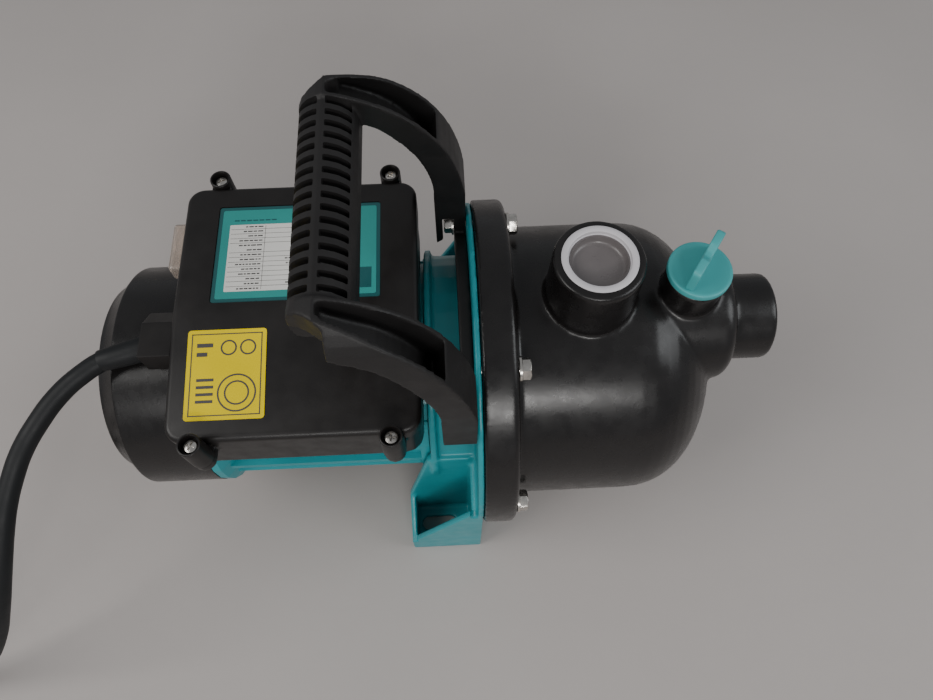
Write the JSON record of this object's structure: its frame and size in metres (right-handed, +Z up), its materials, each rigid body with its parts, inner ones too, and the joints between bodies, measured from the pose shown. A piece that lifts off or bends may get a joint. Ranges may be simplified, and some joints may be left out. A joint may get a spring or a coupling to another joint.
{
  "type": "shallow well jet pump",
  "caption": "Electric jet pump: domed plastic pump body on a footed bracket, finned motor, terminal box, carrying handle and mains cord.",
  "frame": {"origin": "on the floor plane that the feet stand on, at mid length from rear cover to inlet rim, on the plane of the shaft", "axes": "+Z up; +X along the shaft towards the suction inlet; +Y to the switch side of the terminal box"},
  "size_m": [0.6138, 0.2596, 0.2654],
  "materials": {
    "black_gloss_plastic": "gloss",
    "black_matt_plastic": "matt",
    "teal_plastic": "satin",
    "teal_plug": "satin",
    "white_cap": "satin",
    "bright_steel": "zinc plated or ground",
    "laminated_iron": "laminated",
    "copper_winding": "enamelled copper wire",
    "brass": "turned",
    "cast_aluminium": "as cast",
    "ceramic": "lapped",
    "grey_noryl": "moulded",
    "black_rubber": "matt",
    "clear_boot": "clear, slightly yellowed",
    "cord_rubber": "matt",
    "white_plastic": "satin"
  },
  "bodies": {
    "pump": {"backing_plate": "grey_noryl", "body_o_ring": "black_rubber", "box_gasket": "black_rubber", "bracket": "teal_plastic", "cable_gland": "black_matt_plastic", "capacitor": "white_plastic", "cord_coil": "cord_rubber", "cover_screw_1": "bright_steel", "cover_screw_2": "bright_steel", "cover_screw_3": "bright_steel", "cover_screw_4": "bright_steel", "diffuser": "grey_noryl", "ejector_housing": "grey_noryl", "fan_cover": "black_gloss_plastic", "flange_bolt_1": "bright_steel", "flange_bolt_2": "bright_steel", "flange_bolt_3": "bright_steel", "flange_bolt_4": "bright_steel", "flange_bolt_5": "bright_steel", "flange_bolt_6": "bright_steel", "front_bearing_outer": "bright_steel", "handle": "black_matt_plastic", "handle_screw_1": "bright_steel", "handle_screw_2": "bright_steel", "mains_plug": "black_rubber", "motor_housing": "teal_plastic", "nozzle": "brass", "power_cord": "cord_rubber", "pump_body": "black_gloss_plastic", "rear_bearing_outer": "bright_steel", "rear_end_shield": "cast_aluminium", "rear_support": "black_gloss_plastic", "seal_seat": "ceramic", "stator_core": "laminated_iron", "stator_winding": "copper_winding", "switch_body": "black_matt_plastic", "switch_boot": "clear_boot", "terminal_block": "white_plastic", "terminal_box_base": "black_gloss_plastic", "terminal_box_cover": "black_gloss_plastic", "tie_bolt_1": "bright_steel", "tie_bolt_2": "bright_steel", "tie_bolt_3": "bright_steel", "tie_bolt_4": "bright_steel", "venturi_tube": "grey_noryl"},
    "rotor": {"shaft": "bright_steel", "rotor_core": "laminated_iron", "fan": "grey_noryl", "impeller": "grey_noryl", "impeller_nut": "brass", "seal_rotating": "bright_steel", "front_bearing_inner": "bright_steel", "rear_bearing_inner": "bright_steel"},
    "fill_plug_travel": {"fill_plug_o_ring": "black_rubber"},
    "fill_plug_turning": {"fill_plug": "teal_plug"},
    "drain_plug_travel": {"drain_plug_o_ring": "black_rubber"},
    "drain_plug_turning": {"drain_plug": "teal_plug"},
    "outlet_cap_body": {"outlet_cap": "white_cap"},
    "inlet_cap_body": {"inlet_cap": "white_cap"},
    "rocker": {"switch_rocker": "black_matt_plastic"}
  },
  "joints": [
    {"name": "rotor_spin", "type": "hinge", "parent": "pump", "child": "rotor", "pos_m": [0, 0, 0.098], "axis": [1, 0, 0], "continuous": true},
    {"name": "fill_plug_lift", "type": "slide", "parent": "pump", "child": "fill_plug_travel", "axis": [0, 0, 1], "range_m": [0, 0.009]},
    {"name": "fill_plug_turn", "type": "hinge", "parent": "fill_plug_travel", "child": "fill_plug_turning", "pos_m": [0.126, 0, 0.19], "axis": [0, 0, 1], "range_deg": [0, 1080]},
    {"name": "drain_plug_lift", "type": "slide", "parent": "pump", "child": "drain_plug_travel", "axis": [1, 0, 0], "range_m": [0, 0.009]},
    {"name": "drain_plug_turn", "type": "hinge", "parent": "drain_plug_travel", "child": "drain_plug_turning", "pos_m": [0.153, 0, 0.047], "axis": [1, 0, 0], "range_deg": [0, 1080]},
    {"name": "outlet_cap_pull", "type": "slide", "parent": "pump", "child": "outlet_cap_body", "axis": [0, 0, 1], "range_m": [0, 0.015]},
    {"name": "inlet_cap_pull", "type": "slide", "parent": "pump", "child": "inlet_cap_body", "axis": [1, 0, 0], "range_m": [0, 0.015]},
    {"name": "switch_rock", "type": "hinge", "parent": "pump", "child": "rocker", "pos_m": [-0.1245, 0.043, 0.1587], "axis": [0, 0, 1], "range_deg": [0, 20]}
  ],
  "couplings": [
    {"joint": "fill_plug_lift", "follows": "fill_plug_turn", "m_per_rad": 0.000477},
    {"joint": "drain_plug_lift", "follows": "drain_plug_turn", "m_per_rad": 0.000477}
  ]
}
